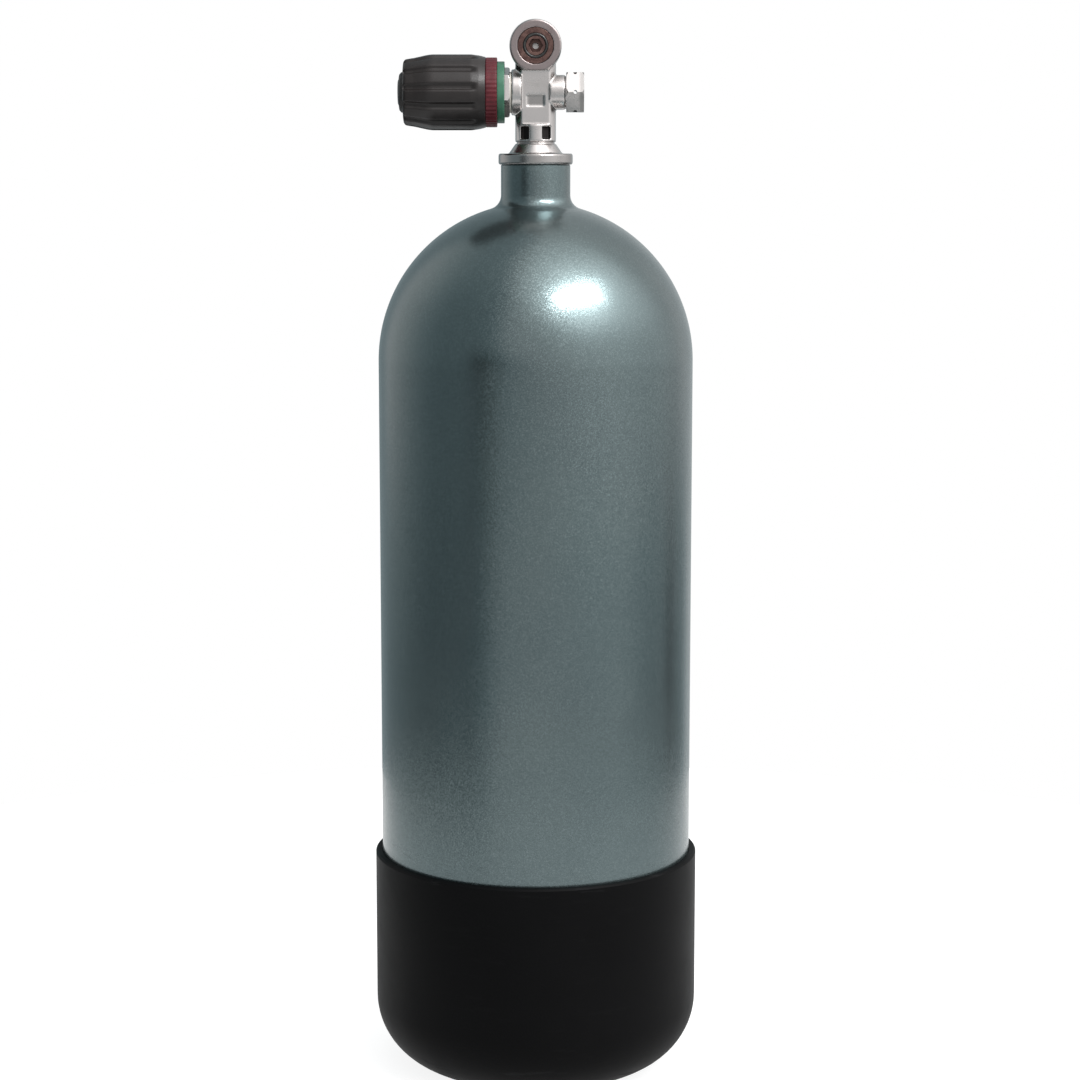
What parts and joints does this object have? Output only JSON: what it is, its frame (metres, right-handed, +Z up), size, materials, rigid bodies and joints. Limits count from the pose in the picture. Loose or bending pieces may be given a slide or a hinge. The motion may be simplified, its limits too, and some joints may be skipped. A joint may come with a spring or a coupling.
{
  "type": "diving cylinder with valve",
  "caption": "Tall domed gas cylinder with a rubber boot, a neck valve with a round outlet head and a fluted side handwheel.",
  "frame": {"origin": "centre of the boot's flat base", "axes": "+Z up along the cylinder's axis, -Y out of the valve's outlet, -X towards the handwheel"},
  "size_m": [0.2122, 0.2122, 0.6852],
  "materials": {
    "shell_paint": "metallic grey-green paint, semi-gloss",
    "boot_rubber": "moulded black rubber, satin",
    "seal_rubber": "black seal rubber",
    "chrome_plate": "satin chrome plating",
    "brass": "machined brass",
    "insert_bronze": "dark aged bronze",
    "white_plastic": "natural white low-friction plastic",
    "steel": "turned stainless steel",
    "black_plastic": "moulded black nylon",
    "grip_rubber": "fluted black rubber",
    "red_plastic": "dark red moulded ring",
    "green_plastic": "muted green moulded ring",
    "copper": "annealed copper"
  },
  "bodies": {
    "root": {"cylinder": "shell_paint", "boot": "boot_rubber", "neck_o_ring": "seal_rubber", "valve_body": "chrome_plate", "dip_tube": "brass", "outlet_insert": "insert_bronze", "outlet_face_o_ring": "seal_rubber", "insert_inner_o_ring": "seal_rubber", "bonnet_nut": "chrome_plate", "bonnet_gasket": "white_plastic", "stem_o_rings": "seal_rubber", "stem_washer": "white_plastic", "knob_spacer": "white_plastic", "burst_plug": "chrome_plate", "burst_gasket": "copper", "burst_disc": "copper"},
    "stem": {"stem": "steel", "stem_nut": "steel", "knob_spring": "steel"},
    "knob": {"knob_core": "black_plastic", "knob_grip": "grip_rubber", "red_ring": "red_plastic", "green_ring": "green_plastic", "knob_end_cap": "black_plastic"},
    "seat": {"seat_plug": "brass", "seat_disc": "white_plastic"}
  },
  "joints": [
    {"name": "knob_turn", "type": "hinge", "parent": "root", "child": "stem", "pos_m": [0, 0, 0.6396], "axis": [-1, 0, 0], "range_deg": [0, 810]},
    {"name": "knob_pull", "type": "slide", "parent": "stem", "child": "knob", "axis": [-1, 0, 0], "range_m": [0, 0.002], "stiffness_N_per_m": 3000, "springref_m": -0.003, "deforming": ["knob_spring"]},
    {"name": "seat_travel", "type": "slide", "parent": "stem", "child": "seat", "axis": [-1, 0, 0], "range_m": [0, 0.00286]}
  ],
  "couplings": [
    {"joint": "seat_travel", "follows": "knob_turn", "m_per_rad": 0.00020213}
  ]
}
